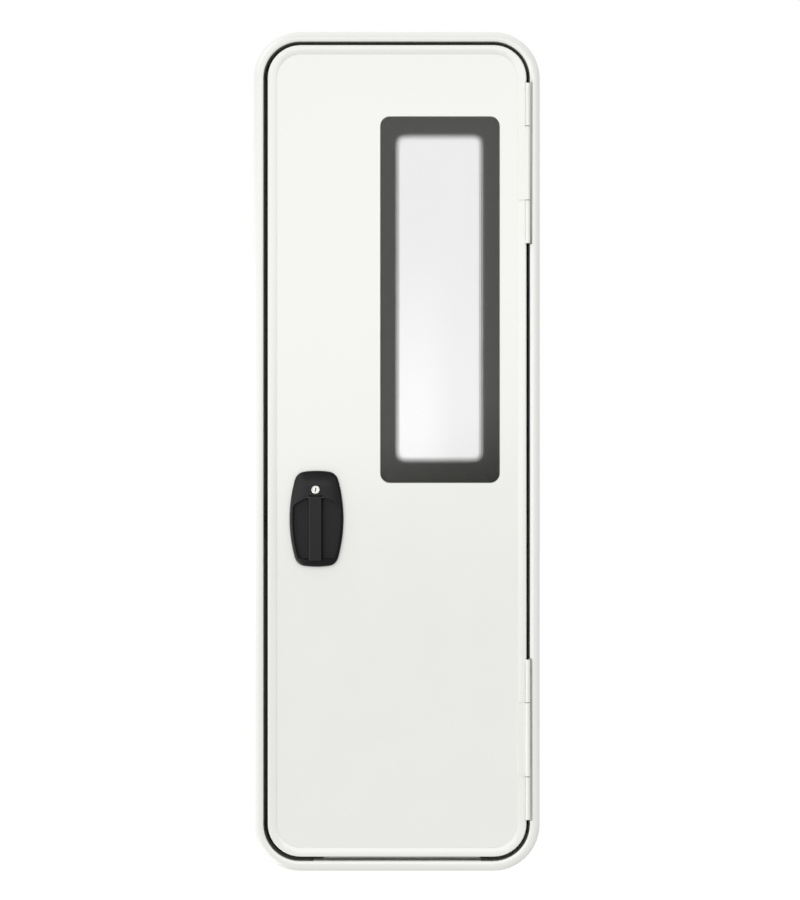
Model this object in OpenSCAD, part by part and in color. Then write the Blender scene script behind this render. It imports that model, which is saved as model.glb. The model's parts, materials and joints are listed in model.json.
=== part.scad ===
// Caravan entry door: a leaf with a bonded window, hung in a flanged frame that clamps the edge
// of the wall's cut-out. It is drawn lying on its inner side, with x across, y up the door and
// z outwards from the wall's outer skin, and stood() turns it upright so that its outside faces
// -Y. The origin is the middle of the frame's bottom edge, on the wall's outer skin.

/* [Frame] */
// Width over the outer flange
frame_w = 614; // [520:1:800]
// Height over the outer flange
frame_h = 1800; // [1650:1:2100]
// Corner radius of the outer flange
frame_corner_r = 100; // [70:1:140]
// Width of the outer flange, from the aperture to its outer edge
flange_w = 21; // [20:1:30]
// Height of the flange's crown over the wall
flange_crown = 8.5; // [7:0.5:11]
// Radius of the flange's crowned face
flange_dome_r = 20; // [17:1:30]
// Wall of the hollow flange
flange_t = 2; // [1.5:0.1:2.5]
// Radius of the flange's two long edges
flange_edge_r = 2; // [1:0.1:2.4]
// Wall of the web that lines the cut-out
web_t = 2.5; // [2:0.1:4]
// Width of the stop lip behind the leaf
lip_w = 14; // [11:1:20]
// Thickness of the stop lip
lip_t = 2.5; // [2:0.1:4]
// Thickness of the caravan's wall
wall_t = 34; // [26:1:45]

/* [Clamp frame] */
// Reach of the clamp frame over the wall's inner skin
clamp_out = 19; // [12:1:20]
// Reach of the clamp frame over the stop lip
clamp_in = 10; // [6:1:10]
// Height of the clamp frame behind its seats
clamp_h = 10; // [8:1:16]
// Wall of the clamp frame
clamp_t = 2; // [1.5:0.1:3]
// Radius of the clamp frame's rounded edges
clamp_edge_r = 5; // [3:0.5:7]

/* [Seal] */
// Height of the seal's bulb in front of the stop lip
seal_h = 7; // [5:0.5:9]
// Thickness of the seal's lining on the web
lining_t = 1.5; // [1:0.1:2]
// Height of the lining's front edge over the wall's outer skin
lining_front = 3; // [1:0.5:4]
// Free space between the leaf's back and the bulb
seal_clear = 5; // [5:0.5:8]

/* [Leaf] */
// Gap at the latch side
gap_latch = 9.5; // [8:0.5:12]
// Gap at the hinge side
gap_hinge = 7.5; // [7.5:0.5:10]
// Gap at the top
gap_top = 7.5; // [7:0.5:10]
// Gap at the bottom
gap_bottom = 9.5; // [9.5:0.5:12]
// Thickness of the leaf, from the trim's crown to its back
leaf_t = 29; // [26:1:36]
// Height of the trim's crown over the wall's outer skin
trim_front = 7; // [6:0.5:7.5]
// Depth of the panel below the trim's crown
panel_step = 2.5; // [1.5:0.1:3]
// Width of the edge trim
trim_w = 19; // [16:1:26]
// Width of the trim's flat crown
crown_w = 10.5; // [8:0.5:13]
// Height of the trim's thin inner edge over the panel
trim_lip = 0.7; // [0.4:0.1:1]
// Radius of the trim's outer edge
trim_edge_r = 3; // [1:0.5:4]
// Wall of the leaf's edge profile
edge_t = 2; // [1.5:0.1:3]
// Width of the edge profile's rear leg
rear_leg_w = 15; // [10:1:20]
// Thickness of the outer and inner skins
skin_t = 1.5; // [1:0.1:2]

/* [Window] */
// Width of the outer pane
win_w = 255; // [180:1:280]
// Height of the outer pane
win_h = 785; // [500:1:800]
// Corner radius of the outer pane
win_r = 20; // [18:1:40]
// Distance of the pane from the leaf's hinge edge
win_side = 58; // [45:1:80]
// Distance of the pane from the leaf's top edge
win_top = 153.5; // [80:0.5:200]
// Dark border at the sides
border_side = 30.5; // [22:0.5:45]
// Dark border at the top
border_top = 32; // [22:0.5:60]
// Dark border at the bottom
border_bottom = 40; // [22:0.5:60]
// Corner radius of the clear field
clear_r = 14; // [6:1:30]
// Thickness of the outer pane
pane_t = 4; // [3:0.1:5]
// Height of the outer pane over the panel
pane_proud = 0.3; // [0:0.1:0.5]
// Thickness of the inner pane
inner_pane_t = 3; // [2:0.1:4]
// Thickness of the printed border layer behind the outer pane
print_t = 0.4; // [0.3:0.1:0.8]
// Free space round the panes in the leaf
pane_gap = 0.8; // [0.4:0.1:1.5]
// Width of the inner pane's seat on the inner skin
rebate_w = 12; // [8:1:13]
// Reach of the inner window trim over the inner skin
trim_reach = 14; // [8:1:20]
// Thickness of the inner window trim
trim_t = 2.5; // [1.5:0.5:4]
// Reach of the inner window trim into the window
trim_in = 3; // [2:0.5:4]
// Radius of the inner window trim's edges
trim_round = 1.2; // [0.6:0.1:1.4]

/* [Pull handle] */
// Width of the handle plate
handle_w = 116; // [108:1:130]
// Height of the handle plate
handle_h = 206; // [196:1:220]
// Distance of the handle's middle from the leaf's latch edge
handle_side = 104.7; // [103:0.1:115]
// Height of the handle's middle over the frame's bottom edge
handle_z = 755.5; // [650:0.1:800]
// Height of the handle plate over the panel
handle_proud = 11.5; // [11:0.5:13]
// Height of the handle plate's crown over its rounded edge
cap_crown = 3.5; // [1:0.5:3.5]
// Radius of the handle plate's rounded edge
cap_edge_r = 7; // [4:0.5:7]
// Wall of the handle plate's finger recess
tub_t = 2; // [1.5:0.1:2.5]
// Width of the rim between the recess and the plate's long edges
rim_w = 7; // [6:0.5:10]
// Free space round the recess in the leaf
hole_gap = 0.5; // [0.3:0.1:1]
// Depth of the finger recess below the panel
recess_d = 13; // [12.5:0.5:18]
// Slope of the recess's walls, from its mouth to its floor
recess_taper = 2.5; // [1:0.5:8]
// Radius of the recess's corners
recess_corner_r = 12; // [6:1:16]
// Radius of the recess's arched top
recess_arch_r = 75; // [65:1:90]
// Top of the recess over the handle's middle
recess_top = 46.5; // [44:0.5:48]
// Bottom of the recess below the handle's middle
recess_bottom = 86.5; // [80:0.5:88]
// Width of the grip bar
grip_w = 29; // [24:0.5:32]
// Length of the grip bar
grip_len = 139; // [134:1:142]
// Height of the grip bar's top end over the handle's middle
grip_up = 49.5; // [48:0.5:51]
// Distance of the grip bar from the handle's middle, towards the latch edge
grip_side = 2; // [0:0.5:4]
// Thickness of the grip bar
grip_t = 9; // [8:0.5:10]
// Height of the grip bar's face over the handle plate
grip_proud = 0.8; // [0.2:0.1:2]
// Radius of the grip bar's front edges
grip_edge_r = 3; // [1:0.1:3.5]
// Radius of the grip's pivot pin
pivot_r = 1.25; // [1:0.05:1.4]
// Radius of the grip's end round its pivot
grip_end_r = 3.2; // [2.8:0.1:3.6]
// Free space round the grip's ends
grip_gap = 1; // [0.8:0.1:1.2]
// Free space over the grip's top end
grip_top_gap = 0.6; // [0.5:0.1:1]
// Radius of the lock's face
lock_r = 8.75; // [8:0.05:9.5]
// Height of the lock's middle over the handle's middle
lock_up = 62.5; // [60:0.5:66]
// Radius of the turning plug
plug_r = 6.6; // [5:0.1:7]
// Running clearance of turning parts, on the radius
run_fit = 0.05; // [0.03:0.01:0.08]

/* [Latch] */
// Radius of the striker pin
striker_r = 3.5; // [3:0.1:4]
// Depth of the striker pin behind the wall's outer skin
striker_d = 7.8; // [6:0.1:9]
// Reach of the striker pin from the striker plate
striker_len = 22; // [18:1:26]
// Free space round the striker pin in the leaf
striker_gap = 2; // [1.5:0.1:3]
// Width of the latch case, into the leaf
case_w = 38; // [34:1:44]
// Height of the latch case
case_h = 100; // [90:1:130]
// Wall of the latch case
case_t = 1.5; // [1:0.1:2]
// Thickness of the claw
claw_t = 6; // [4:0.5:8]
// Height of the claw's pivot over the striker pin
claw_up = 17; // [15:0.5:22]
// Thickness of the latch faceplate and the striker plate
plate_t = 1.5; // [1:0.1:2]
// Height of the striker plate
striker_h = 80; // [60:1:100]
// Height of the latch faceplate
face_h = 90; // [70:1:110]
// Radius of the screw holes in both plates
plate_hole_r = 2.4; // [2:0.1:3]
// Radius of the claw's pivot pin
claw_pin_r = 3; // [2.5:0.1:3.5]

/* [Hinges] */
// Length of one hinge
hinge_len = 343; // [260:1:400]
// Length of the middle knuckle, which belongs to the leaf
knuckle_mid = 160; // [100:1:180]
// Distance of each hinge from the frame's top or bottom edge
hinge_inset = 111; // [105:1:160]
// Radius of the hinge barrel
barrel_r = 5; // [4.5:0.1:5.5]
// Height of the hinge axis over the wall's outer skin
hinge_out = 10.5; // [10:0.1:12]
// Radius of the hinge pin
hinge_pin_r = 3; // [2.5:0.1:3.2]
// Thickness of both hinge wings
wing_t = 2.5; // [2:0.1:2.5]
// Reach of the leaf's wing from the hinge axis
wing_reach = 20.5; // [16:0.5:24]
// Depth of the frame's wing behind the wall's outer skin
wing_d = 14; // [10:1:18]
// Width of the notch in the flange beside the barrel
notch_w = 5; // [4:0.5:5.5]
// Length of the notch past each end of the hinge
notch_end = 2; // [1:0.5:4]
// Thickness left under the notch
notch_floor = 1.2; // [0.8:0.1:2]
// Thickness of the washers between the knuckles
washer_t = 1; // [0.8:0.1:1.5]

/* [Inner handle] */
// Width of the inner handle's plate
inner_w = 70; // [60:1:80]
// Height of the inner handle's plate
inner_h = 170; // [150:1:200]
// Thickness of the inner handle's plate
inner_t = 7; // [5:0.5:10]
// Corner radius of the inner handle's plate
inner_r = 14; // [8:1:20]
// Radius of the inner handle's rounded edges
inner_edge_r = 3; // [1:0.5:4]
// Width of the lever
lever_w = 24; // [18:1:28]
// Thickness of the lever
lever_t = 10; // [9:0.5:12]
// Distance of the lever's face from the plate
lever_out = 22; // [18:1:28]
// Length of the lever from its neck to its tip
lever_len = 112; // [90:1:130]
// Radius of the lever's neck
neck_r = 10; // [6:0.5:10.5]

/* [Fixing screws] */
// Radius of the screw holes in the web
screw_r = 2.2; // [1.8:0.1:2.6]
// Depth of the screw holes behind the wall's outer skin
screw_d = 14; // [12:1:18]
// Spacing of the two holes in each jamb
screw_jamb = 700; // [500:10:800]
// Spacing of the two holes in the head and in the sill
screw_head = 390; // [380:2:396]

/* [Sill strip] */
// Left end of the sill strip's upright edge, from the door's middle
sill_left = 156.6; // [100:0.2:170]
// Right end of the sill strip, from the door's middle
sill_right = 180.2; // [100:0.2:182]
// Length of the low tongue at the strip's left end
sill_tongue = 21.8; // [10:0.2:24]
// Thickness of the sill strip
sill_t = 1.5; // [1:0.1:2]
// Height of the sill strip's upright edge
sill_up = 4.5; // [3:0.1:4.5]

/* [Hidden] */
$fn = 96;
eps = 0.01;

white = [0.95, 0.95, 0.93];
black = [0.13, 0.13, 0.12];
steel = [0.62, 0.63, 0.64];
dark_steel = [0.16, 0.16, 0.17];

// Aperture of the frame and its middle
ap_w = frame_w - 2 * flange_w;
ap_h = frame_h - 2 * flange_w;
ap_r = frame_corner_r - flange_w;
mid_y = frame_h / 2;
ap_x = ap_w / 2;
ap_bottom = flange_w;

// Flange section
crown_u = flange_w / 3;
dome_v = flange_crown - flange_dome_r;
fillet_reach = flange_dome_r - flange_edge_r;
fillet_in_v = dome_v + sqrt(pow(fillet_reach, 2) - pow(crown_u - flange_edge_r, 2));
fillet_out_u = flange_w - flange_edge_r;
fillet_out_v = dome_v + sqrt(pow(fillet_reach, 2) - pow(fillet_out_u - crown_u, 2));
groove_in = notch_w + 2.5;
groove_out = flange_w - 2.5;

// Leaf
leaf_w = ap_w - gap_latch - gap_hinge;
leaf_h = ap_h - gap_top - gap_bottom;
leaf_r = ap_r - (gap_latch + gap_hinge) / 2;
leaf_x = (gap_latch - gap_hinge) / 2;
leaf_y = mid_y + (gap_bottom - gap_top) / 2;
latch_edge = leaf_x - leaf_w / 2;
hinge_edge = leaf_x + leaf_w / 2;
leaf_back = trim_front - leaf_t;
panel = trim_front - panel_step;
skin_back = panel - skin_t;
inner_face = leaf_back + edge_t;
inner_front = inner_face + skin_t;

// Stop lip, seal and clamp frame
lip_front = leaf_back - seal_clear - seal_h;
lip_back = lip_front - lip_t;
clamp_back = min(lip_back, -wall_t) - clamp_h;
web_back = clamp_back + clamp_t + 1.5;
sill_back = lip_front + seal_h + 1;
striker_back = lip_front + seal_h + 3;
striker_front = -lining_t;

// Hinges
axis_x = ap_x - barrel_r;
knuckle_gap = washer_t + 0.4;
knuckle_end = (hinge_len - knuckle_mid) / 2;
sweep_r = barrel_r + 1.5;
wing_hole_z = -wing_d / 2;
hinge_ys = [hinge_inset, frame_h - hinge_inset - hinge_len];
wing_back = hinge_out - barrel_r;

// Window
win_x = hinge_edge - win_side - win_w / 2;
win_y = leaf_y + leaf_h / 2 - win_top - win_h / 2;
pane_front = panel + pane_proud;
print_front = pane_front - pane_t;
print_back = print_front - print_t;
clear_w = win_w - 2 * border_side;
clear_h = win_h - border_top - border_bottom;
clear_y = win_y + (border_bottom - border_top) / 2;
spacer_back = inner_front + inner_pane_t;

// Pull handle, lock and latch
handle_x = latch_edge + handle_side;
handle_front = panel + handle_proud;
side_arc_r = 310;
end_arc_r = 190;
corner_arc_r = 24;
grip_x = handle_x - grip_side;
grip_front = handle_front + grip_proud;
grip_back = grip_front - grip_t;
grip_top = handle_z + grip_up;
grip_bottom = grip_top - grip_len;
pivot_y = grip_top - grip_end_r;
pivot_z = grip_front - grip_end_r;
lock_x = handle_x - 1.7;
lock_y = handle_z + lock_up;
lock_front = handle_front + 1;
case_x = latch_edge + edge_t;
slot_end = striker_len + plate_t - gap_latch + striker_gap;
slot_half = striker_r + striker_gap;
claw_x = latch_edge + slot_end - striker_gap - 1 - claw_t;
claw_r = (skin_back - inner_front - 2 * case_t) / 2 - 0.5;
jaw_half = striker_r + 1;

// Inner handle
inner_x = latch_edge + 71.5;
inner_front_z = inner_face - inner_t;
lever_y = handle_z + inner_h / 4;
lever_z = inner_front_z - lever_out;

module stood() {
    rotate([90, 0, 0]) children();
}

module slab(z0, z1) {
    translate([0, 0, z0]) linear_extrude(z1 - z0) children();
}

module rounded(w, h, r) {
    square([w - 2 * r, h], center = true);
    square([w, h - 2 * r], center = true);
    for (x = [-1, 1], y = [-1, 1])
        translate([x * (w / 2 - r), y * (h / 2 - r)]) circle(r);
}

// A section drawn as (outwards, height), swept round a rounded rectangle
module swept(w, h, r) {
    for (i = [0 : 3]) {
        hx = (i % 2 == 0 ? w : h) / 2;
        hy = (i % 2 == 0 ? h : w) / 2;
        rotate([0, 0, 90 * i]) {
            translate([hx, hy - r, 0]) rotate([90, 0, 0]) linear_extrude(2 * (hy - r)) children();
            translate([hx - r, hy - r, 0]) rotate_extrude(angle = 90) translate([r, 0]) children();
        }
    }
}

module round_aperture() {
    translate([0, mid_y, 0]) swept(ap_w, ap_h, ap_r) children();
}

module round_leaf() {
    translate([leaf_x, leaf_y, 0]) swept(leaf_w, leaf_h, leaf_r) children();
}

// A cylinder up the door, from y0 to y1
module rod_y(x, z, r, y0, y1) {
    translate([x, y0, z]) rotate([-90, 0, 0]) cylinder(h = y1 - y0, r = r);
}

// A cylinder across the door, from x0 to x1
module rod_x(y, z, r, x0, x1) {
    translate([x0, y, z]) rotate([0, 90, 0]) cylinder(h = x1 - x0, r = r);
}

module block(x0, x1, y0, y1, z0, z1) {
    translate([x0, y0, z0]) cube([x1 - x0, y1 - y0, z1 - z0]);
}

module flange_outline() {
    intersection() {
        translate([crown_u, dome_v]) circle(flange_dome_r);
        polygon([
            [crown_u, dome_v],
            [crown_u + 3 * (flange_edge_r - crown_u), dome_v + 3 * (fillet_in_v - dome_v)],
            [crown_u + 3 * (fillet_out_u - crown_u), dome_v + 3 * (fillet_out_v - dome_v)]
        ]);
        square([flange_w, flange_crown + 1]);
    }
    translate([flange_edge_r, fillet_in_v]) circle(flange_edge_r);
    translate([fillet_out_u, fillet_out_v]) circle(flange_edge_r);
    polygon([
        [0, 0], [flange_w, 0], [flange_w, fillet_out_v], [fillet_out_u, fillet_out_v],
        [flange_edge_r, fillet_in_v], [0, fillet_in_v]
    ]);
}

module flange_section() {
    difference() {
        flange_outline();
        intersection() {
            translate([crown_u, dome_v]) circle(flange_dome_r - flange_t);
            translate([groove_in, -1]) square([groove_out - groove_in, flange_crown + 1]);
        }
    }
}

module reveal_section() {
    translate([0, web_back]) square([web_t, -web_back]);
    translate([-lip_w, lip_back]) square([lip_w + eps, lip_t]);
}

module screw_holes(r) {
    for (y = [-1, 1] * screw_jamb / 2)
        rod_x(mid_y + y, -screw_d, r, -ap_x - 6, ap_x + 6);
    for (x = [-1, 1] * screw_head / 2)
        rod_y(x, -screw_d, r, ap_bottom - 6, frame_h - ap_bottom + 6);
}

module outer_frame() {
    color(white) stood() difference() {
        round_aperture() flange_section();
        for (y = hinge_ys)
            block(ap_x - 1, ap_x + notch_w, y - notch_end, y + hinge_len + notch_end, notch_floor,
                  flange_crown + 1);
    }
}

// Lines the cut-out and carries the stop lip
module frame_reveal() {
    color(white) stood() difference() {
        round_aperture() reveal_section();
        screw_holes(screw_r);
    }
}

module channel_outline(u0, u1, base0, base1, back, r) {
    translate([u0 + r, back]) square([u1 - u0 - 2 * r, r + eps]);
    translate([u0, back + r]) square([(u1 - u0) / 2 + eps, base0 - back - r]);
    translate([(u0 + u1) / 2, back + r]) square([(u1 - u0) / 2, base1 - back - r]);
    for (u = [u0 + r, u1 - r])
        translate([u, back + r]) circle(r);
}

module clamp_section() {
    difference() {
        channel_outline(-clamp_in, clamp_out, lip_back, -wall_t, clamp_back, clamp_edge_r);
        translate([clamp_t - clamp_in, clamp_back + clamp_t + 0.5])
            square([clamp_in + clamp_out - 2 * clamp_t, clamp_h + abs(lip_back + wall_t)]);
    }
}

module inner_clamp_frame() {
    color(white) stood() round_aperture() clamp_section();
}

module seal_section() {
    translate([-lining_t, lip_front]) square([lining_t, lining_front - lip_front]);
    translate([1 - lip_w, lip_front]) square([lip_w - 1, lining_t]);
    translate([-lip_w / 2, lip_front + seal_h / 2]) circle(seal_h / 2);
}

module door_seal() {
    color(black) stood() difference() {
        round_aperture() seal_section();
        screw_holes(2 * screw_r);
        for (y = hinge_ys)
            block(ap_x - 2 * lining_t, ap_x + 1, y - notch_end, y + hinge_len + notch_end,
                  -wing_d - 1, lining_front + 1);
        block(-ap_x - 1, -ap_x + 2 * lining_t, handle_z - striker_h / 2 - 2,
              handle_z + striker_h / 2 + 2, striker_back - 0.5, striker_front + 0.5);
        block(-sill_left - sill_tongue - 1, sill_right + 1, ap_bottom - 1, ap_bottom + 2 * lining_t,
              sill_back - 0.5, lining_front + 1);
    }
}

module sill_strip() {
    color([0.55, 0.55, 0.53]) stood() {
        block(-sill_left - sill_tongue, sill_right, ap_bottom, ap_bottom + sill_t, sill_back,
              lining_front);
        block(-sill_left, sill_right, ap_bottom, ap_bottom + sill_up, sill_back, sill_back + sill_t);
    }
}

// Both ends of the frame's wing carry a knuckle, and its middle passes under the leaf's knuckle
module hinge_frame_wing(y) {
    mid0 = y + knuckle_end;
    mid1 = y + hinge_len - knuckle_end;
    color(white) stood() difference() {
        union() {
            block(ap_x - wing_t, ap_x, y, y + hinge_len, -wing_d, hinge_out);
            rod_y(axis_x, hinge_out, barrel_r, y, mid0);
            rod_y(axis_x, hinge_out, barrel_r, mid1, y + hinge_len);
        }
        rod_y(axis_x, hinge_out, sweep_r, mid0, mid1);
        block(axis_x, ap_x + 1, mid0, mid1, hinge_out, hinge_out + 1);
        rod_y(axis_x, hinge_out, hinge_pin_r, y - 1, y + hinge_len + 1);
        for (e = [1 / 5, 4 / 5], m = [y, mid1])
            rod_x(m + e * knuckle_end, wing_hole_z, plate_hole_r, ap_x - wing_t - 1, ap_x + 1);
    }
}

module hinge_pin(y) {
    color(steel) stood() rod_y(axis_x, hinge_out, hinge_pin_r, y, y + hinge_len);
}

module hinge_washers(y) {
    color(black) stood() difference() {
        for (m = [y + knuckle_end + 0.1, y + hinge_len - knuckle_end - 0.1 - washer_t])
            rod_y(axis_x, hinge_out, barrel_r - 0.3, m, m + washer_t);
        rod_y(axis_x, hinge_out, hinge_pin_r, y, y + hinge_len);
    }
}

module hinge_door_wing(y) {
    m0 = y + knuckle_end + knuckle_gap;
    m1 = y + hinge_len - knuckle_end - knuckle_gap;
    color(white) stood() difference() {
        union() {
            block(axis_x - wing_reach, axis_x, m0, m1, wing_back, wing_back + wing_t);
            rod_y(axis_x, hinge_out, barrel_r, m0, m1);
        }
        rod_y(axis_x, hinge_out, hinge_pin_r + run_fit, m0 - 1, m1 + 1);
    }
}

// The two screw holes in a plate on a jamb or on the leaf's edge
module plate_holes(up, x0, x1) {
    for (y = [-up, up])
        rod_x(handle_z + y, -striker_d, plate_hole_r, x0, x1);
}

module striker_plate() {
    color(dark_steel) stood() difference() {
        block(-ap_x, -ap_x + plate_t, handle_z - striker_h / 2, handle_z + striker_h / 2,
              striker_back, striker_front);
        plate_holes(striker_h / 2 - 9, -ap_x - 1, -ap_x + plate_t + 1);
    }
}

module striker_pin() {
    x0 = -ap_x + plate_t;
    color(dark_steel) stood() translate([x0, handle_z, -striker_d]) rotate([0, 90, 0]) {
        cylinder(h = 2, r = striker_r + 2.5);
        cylinder(h = striker_len - 1, r = striker_r);
        translate([0, 0, striker_len - 1]) cylinder(h = 1, r1 = striker_r, r2 = striker_r - 1);
    }
}

// The slot that the striker pin enters from behind
module striker_slot() {
    x1 = latch_edge + slot_end;
    block(latch_edge - 5, x1, handle_z - slot_half, handle_z + slot_half, leaf_back - 1, -striker_d);
    rod_x(handle_z, -striker_d, slot_half, latch_edge - 5, x1);
}

module edge_section() {
    polygon([
        [-trim_w, panel], [-trim_w, panel + trim_lip], [-crown_w, trim_front],
        [-trim_edge_r, trim_front], [-trim_edge_r, trim_front - trim_edge_r],
        [0, trim_front - trim_edge_r],
        [0, leaf_back], [-rear_leg_w, leaf_back], [-rear_leg_w, inner_face], [-edge_t, inner_face],
        [-edge_t, panel]
    ]);
    translate([-trim_edge_r, trim_front - trim_edge_r]) circle(trim_edge_r);
}

module leaf_edge_profile() {
    color(white) stood() difference() {
        round_leaf() intersection() {
            edge_section();
            polygon([
                [-trim_w, panel], [-trim_w, trim_front], [0, trim_front], [0, leaf_back],
                [-rear_leg_w, leaf_back], [-rear_leg_w, inner_face], [-edge_t, inner_face],
                [-edge_t, panel]
            ]);
        }
        for (y = hinge_ys) {
            rod_y(axis_x, hinge_out, sweep_r, y - 3, y + hinge_len + 3);
            block(axis_x - wing_reach - 0.2, hinge_edge + 1, y + knuckle_end + knuckle_gap - 0.2,
                  y + hinge_len - knuckle_end - knuckle_gap + 0.2, wing_back, trim_front + 1);
        }
        striker_slot();
    }
}

module leaf_sheet(z0, z1) {
    slab(z0, z1) translate([leaf_x, leaf_y])
        rounded(leaf_w - 2 * edge_t, leaf_h - 2 * edge_t, leaf_r - edge_t);
}

module window_hole(z0, z1, grow) {
    slab(z0, z1) translate([win_x, win_y])
        rounded(win_w + 2 * grow, win_h + 2 * grow, win_r + grow);
}

module outer_skin() {
    color(white) stood() difference() {
        leaf_sheet(skin_back, panel);
        window_hole(skin_back - 1, panel + 1, pane_gap);
        recess_hole(skin_back - 1, panel + 1);
        rod_z(lock_x, lock_y, lock_r + 1, skin_back - 1, panel + 1);
    }
}

module foam_core() {
    color([0.93, 0.9, 0.78]) stood() difference() {
        leaf_sheet(inner_front, skin_back);
        window_hole(inner_front - 1, skin_back + 1, pane_gap);
        recess_hole(inner_front - 1, skin_back + 1);
        rod_z(lock_x, lock_y, lock_r + 1, inner_front + 2, skin_back + 1);
        block(case_x - 1, case_x + case_w, handle_z - case_h / 2, handle_z + case_h / 2,
              inner_front - 1, skin_back + 1);
    }
}

module inner_skin() {
    color([0.96, 0.96, 0.94]) stood() difference() {
        leaf_sheet(inner_face, inner_front);
        window_hole(inner_face - 1, inner_front + 1, -rebate_w);
        striker_slot();
    }
}

module window_outer_pane() {
    color([0.92, 0.93, 0.94, 0.6]) stood() window_hole(print_front, pane_front, 0);
}

module clear_hole(z0, z1, grow) {
    slab(z0, z1) translate([win_x, clear_y])
        rounded(clear_w + 2 * grow, clear_h + 2 * grow, clear_r + grow);
}

module window_border_print() {
    color([0.27, 0.27, 0.26]) stood() difference() {
        window_hole(print_back, print_front, -0.5);
        clear_hole(print_back - 1, print_front + 1, 0);
    }
}

module window_spacer() {
    color(black) stood() difference() {
        window_hole(spacer_back, print_back, 0);
        clear_hole(spacer_back - 1, print_back + 1, 2);
    }
}

module window_inner_pane() {
    color([0.92, 0.93, 0.94, 0.6]) stood() window_hole(inner_front, spacer_back, 0);
}

module trim_section() {
    back = inner_face - trim_t;
    w = trim_in + trim_reach;
    translate([-trim_in, back + trim_round]) square([w, trim_t - trim_round]);
    translate([trim_round - trim_in, back]) square([w - 2 * trim_round, trim_t]);
    for (u = [trim_round - trim_in, trim_reach - trim_round])
        translate([u, back + trim_round]) circle(trim_round);
    translate([-trim_in, inner_face - eps]) square([trim_in, skin_t + eps]);
}

module window_inner_trim() {
    color([0.9, 0.9, 0.88]) stood() translate([win_x, win_y, 0])
        swept(win_w - 2 * rebate_w, win_h - 2 * rebate_w, win_r - rebate_w) trim_section();
}

module rod_z(x, y, r, z0, z1) {
    translate([x, y, z0]) cylinder(h = z1 - z0, r = r);
}

// Barrel outline of the handle plate, drawn inset from its edge
module handle_outline(inset) {
    offset(r = corner_arc_r - inset) offset(delta = -corner_arc_r) intersection() {
        translate([side_arc_r - handle_w / 2, 0]) circle(side_arc_r, $fn = 240);
        translate([handle_w / 2 - side_arc_r, 0]) circle(side_arc_r, $fn = 240);
        translate([0, end_arc_r - handle_h / 2]) circle(end_arc_r, $fn = 240);
        translate([0, handle_h / 2 - end_arc_r]) circle(end_arc_r, $fn = 240);
    }
}

// Crowned cap of the handle plate, with a round edge
module handle_cap() {
    shoulder = handle_proud - cap_crown;
    translate([handle_x, handle_z, panel]) hull() {
        linear_extrude(shoulder - cap_edge_r) handle_outline(0);
        for (a = [22.5 : 22.5 : 90])
            translate([0, 0, shoulder - cap_edge_r * (1 - sin(a))])
                linear_extrude(eps) handle_outline(cap_edge_r * (1 - cos(a)));
        translate([0, 0, handle_proud - eps]) linear_extrude(eps) handle_outline(handle_w / 4);
    }
}

// Arched field between the plate's long sides
module recess_field(grow) {
    r = side_arc_r - rim_w + grow;
    intersection() {
        translate([side_arc_r - handle_w / 2, 0]) circle(r, $fn = 240);
        translate([handle_w / 2 - side_arc_r, 0]) circle(r, $fn = 240);
        translate([0, recess_top - recess_arch_r]) circle(recess_arch_r + grow);
        translate([-handle_w, -recess_bottom - grow]) square([2 * handle_w, 2 * recess_bottom]);
    }
}

module recess_outline(grow) {
    translate([handle_x, handle_z]) offset(r = recess_corner_r + grow)
        offset(delta = -recess_corner_r) recess_field(0);
}

// Hole in the leaf's layers for the recess
module recess_hole(z0, z1) {
    slab(z0, z1) translate([handle_x, handle_z]) recess_field(tub_t + hole_gap);
}

// The finger recess, or the tub round it, whose walls slope in towards its floor
module recess_body(floor_z, mouth_z, grow) {
    hull() {
        translate([0, 0, mouth_z - eps]) linear_extrude(eps) recess_outline(grow);
        translate([0, 0, floor_z]) linear_extrude(eps) recess_outline(grow - recess_taper);
    }
}

module handle_plate() {
    color(black) stood() difference() {
        union() {
            handle_cap();
            recess_body(panel - recess_d - tub_t, panel + 1, tub_t);
        }
        recess_body(panel - recess_d, handle_front + 1, 0);
        grip_notch();
        rod_z(lock_x, lock_y, lock_r, panel - 1, handle_front + 1);
        rod_x(pivot_y, pivot_z, pivot_r, grip_x - grip_w / 2 - 10, grip_x + grip_w / 2 + 10);
    }
}

// Room for the grip's two ends in the handle plate
module grip_notch() {
    half = grip_w / 2 + grip_gap;
    block(grip_x - half, grip_x + half, grip_bottom - grip_gap, pivot_y, grip_back - grip_gap,
          grip_front + 1);
    rod_x(pivot_y, pivot_z, grip_end_r + grip_top_gap, grip_x - half, grip_x + half);
    block(grip_x - half, grip_x + half, pivot_y, grip_top + grip_top_gap, pivot_z, grip_front + 1);
}

module grip_pivot_pin() {
    color(steel) stood()
        rod_x(pivot_y, pivot_z, pivot_r, grip_x - grip_w / 2 - 10, grip_x + grip_w / 2 + 10);
}

module grip_section() {
    x = grip_w / 2;
    r = grip_edge_r;
    translate([-x, grip_back]) square([grip_w, grip_t - r]);
    translate([r - x, grip_back]) square([grip_w - 2 * r, grip_t]);
    for (s = [-1, 1])
        translate([s * (x - r), grip_front - r]) circle(r);
}

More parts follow.
